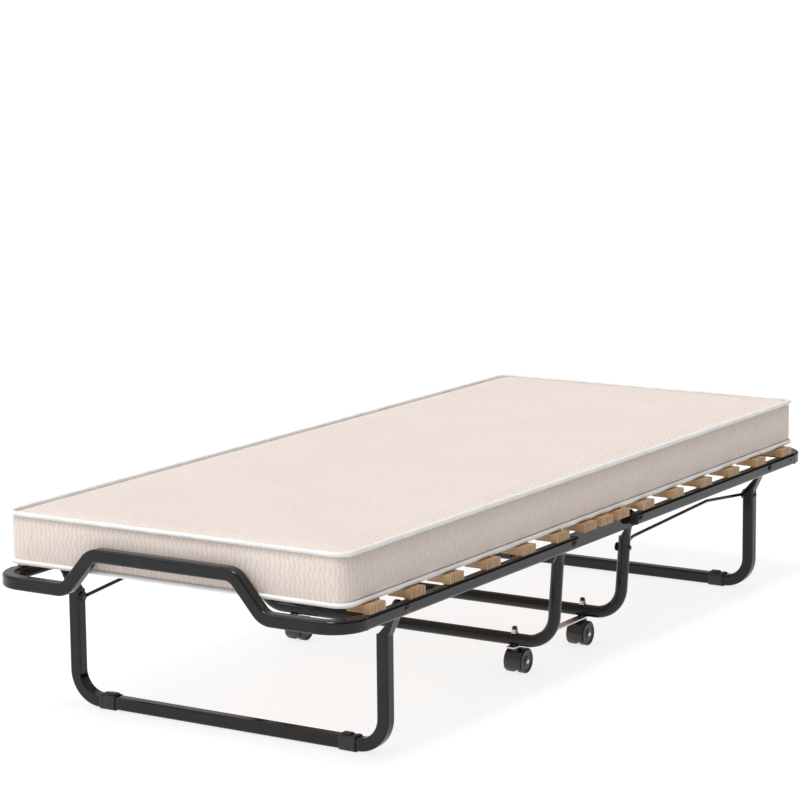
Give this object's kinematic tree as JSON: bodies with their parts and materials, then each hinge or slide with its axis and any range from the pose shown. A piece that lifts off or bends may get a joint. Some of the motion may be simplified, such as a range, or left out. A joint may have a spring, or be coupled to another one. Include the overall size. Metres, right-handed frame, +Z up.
{
  "type": "rollaway bed",
  "caption": "Folding rollaway bed: slatted steel half frames that fold up on a caster frame, with linked U legs and a foam mattress.",
  "frame": {"origin": "on the floor, under the middle of the bed", "axes": "+X along the bed towards its far end, +Y across it, +Z up"},
  "size_m": [1.905, 0.8086, 0.408],
  "materials": {
    "mattress_cover": "knitted cover, fine crinkled quilting",
    "slat_cap_plastic": "moulded, satin, wood coloured",
    "slat_wood": "clear satin lacquer",
    "wheel_plastic": "gloss",
    "hood_plastic": "gloss",
    "black_plastic": "moulded, satin",
    "zinc_steel": "bright zinc plate",
    "dark_fastener": "black oxide",
    "black_enamel": "gloss charcoal powder coat"
  },
  "bodies": {
    "centre_frame": {"centre_rail_left": "black_enamel", "centre_rail_right": "black_enamel", "near_caster_tube": "black_enamel", "far_caster_tube": "black_enamel", "caster_strap_left": "zinc_steel", "caster_strap_right": "zinc_steel", "centre_slat_1": "slat_wood", "centre_slat_2": "slat_wood", "centre_slat_3": "slat_wood", "centre_slat_caps": "slat_cap_plastic", "hinge_bolts": "dark_fastener", "caster_stems": "zinc_steel", "cap_nuts": "zinc_steel", "rod_anchor_pins": "dark_fastener", "mattress_centre": "mattress_cover"},
    "near_half": {"near_rail_left": "black_enamel", "near_rail_right": "black_enamel", "near_rail_plugs": "black_plastic", "near_end_hoop": "black_enamel", "near_joint_screws": "dark_fastener", "near_slat_caps": "slat_cap_plastic", "near_leg_pivot_bolts": "dark_fastener", "near_mattress": "mattress_cover", "near_slat_1": "slat_wood", "near_slat_2": "slat_wood", "near_slat_3": "slat_wood", "near_slat_4": "slat_wood", "near_slat_5": "slat_wood", "near_slat_6": "slat_wood"},
    "near_leg_frame": {"near_leg": "black_enamel", "near_foot_clips": "black_plastic", "near_rod_pin": "dark_fastener"},
    "near_rod": {"near_linkage_rod": "black_enamel"},
    "far_half": {"far_rail_left": "black_enamel", "far_rail_right": "black_enamel", "far_rail_plugs": "black_plastic", "far_end_hoop": "black_enamel", "far_joint_screws": "dark_fastener", "far_slat_caps": "slat_cap_plastic", "far_leg_pivot_bolts": "dark_fastener", "far_mattress": "mattress_cover", "far_slat_1": "slat_wood", "far_slat_2": "slat_wood", "far_slat_3": "slat_wood", "far_slat_4": "slat_wood", "far_slat_5": "slat_wood", "far_slat_6": "slat_wood"},
    "far_leg_frame": {"far_leg": "black_enamel", "far_foot_clips": "black_plastic", "far_rod_pin": "dark_fastener"},
    "far_rod": {"far_linkage_rod": "black_enamel"},
    "caster_near_left": {"caster_hood_near_left": "hood_plastic"},
    "wheels_near_left": {"caster_wheels_near_left": "wheel_plastic"},
    "caster_near_right": {"caster_hood_near_right": "hood_plastic"},
    "wheels_near_right": {"caster_wheels_near_right": "wheel_plastic"},
    "caster_far_left": {"caster_hood_far_left": "hood_plastic"},
    "wheels_far_left": {"caster_wheels_far_left": "wheel_plastic"},
    "caster_far_right": {"caster_hood_far_right": "hood_plastic"},
    "wheels_far_right": {"caster_wheels_far_right": "wheel_plastic"}
  },
  "joints": [
    {"name": "near_fold", "type": "hinge", "parent": "centre_frame", "child": "near_half", "pos_m": [-0.14, 0, 0.278], "axis": [0, 1, 0], "range_deg": [0, 90], "deforming": ["mattress_centre"]},
    {"name": "near_leg_swing", "type": "hinge", "parent": "near_half", "child": "near_leg_frame", "pos_m": [-0.752, 0, 0.278], "axis": [0, -1, 0], "range_deg": [0, 90]},
    {"name": "near_rod_swing", "type": "hinge", "parent": "centre_frame", "child": "near_rod", "pos_m": [-0.14, 0, 0.213], "axis": [0, 1, 0], "range_deg": [0, 90]},
    {"name": "far_fold", "type": "hinge", "parent": "centre_frame", "child": "far_half", "pos_m": [0.14, 0, 0.278], "axis": [0, -1, 0], "range_deg": [0, 90], "deforming": ["mattress_centre"]},
    {"name": "far_leg_swing", "type": "hinge", "parent": "far_half", "child": "far_leg_frame", "pos_m": [0.752, 0, 0.278], "axis": [0, 1, 0], "range_deg": [0, 90]},
    {"name": "far_rod_swing", "type": "hinge", "parent": "centre_frame", "child": "far_rod", "pos_m": [0.14, 0, 0.213], "axis": [0, -1, 0], "range_deg": [0, 90]},
    {"name": "swivel_near_left", "type": "hinge", "parent": "centre_frame", "child": "caster_near_left", "pos_m": [-0.14, 0.264, 0.045], "axis": [0, 0, 1], "continuous": true},
    {"name": "roll_near_left", "type": "hinge", "parent": "caster_near_left", "child": "wheels_near_left", "pos_m": [-0.128, 0.264, 0.024], "axis": [0, 1, 0], "continuous": true},
    {"name": "swivel_near_right", "type": "hinge", "parent": "centre_frame", "child": "caster_near_right", "pos_m": [-0.14, -0.264, 0.045], "axis": [0, 0, 1], "continuous": true},
    {"name": "roll_near_right", "type": "hinge", "parent": "caster_near_right", "child": "wheels_near_right", "pos_m": [-0.128, -0.264, 0.024], "axis": [0, 1, 0], "continuous": true},
    {"name": "swivel_far_left", "type": "hinge", "parent": "centre_frame", "child": "caster_far_left", "pos_m": [0.14, 0.264, 0.045], "axis": [0, 0, 1], "continuous": true},
    {"name": "roll_far_left", "type": "hinge", "parent": "caster_far_left", "child": "wheels_far_left", "pos_m": [0.128, 0.264, 0.024], "axis": [0, 1, 0], "continuous": true},
    {"name": "swivel_far_right", "type": "hinge", "parent": "centre_frame", "child": "caster_far_right", "pos_m": [0.14, -0.264, 0.045], "axis": [0, 0, 1], "continuous": true},
    {"name": "roll_far_right", "type": "hinge", "parent": "caster_far_right", "child": "wheels_far_right", "pos_m": [0.128, -0.264, 0.024], "axis": [0, 1, 0], "continuous": true}
  ],
  "couplings": [
    {"joint": "near_leg_swing", "follows": "near_fold", "ratio": 1},
    {"joint": "near_rod_swing", "follows": "near_fold", "ratio": 1},
    {"joint": "far_leg_swing", "follows": "far_fold", "ratio": 1},
    {"joint": "far_rod_swing", "follows": "far_fold", "ratio": 1}
  ]
}
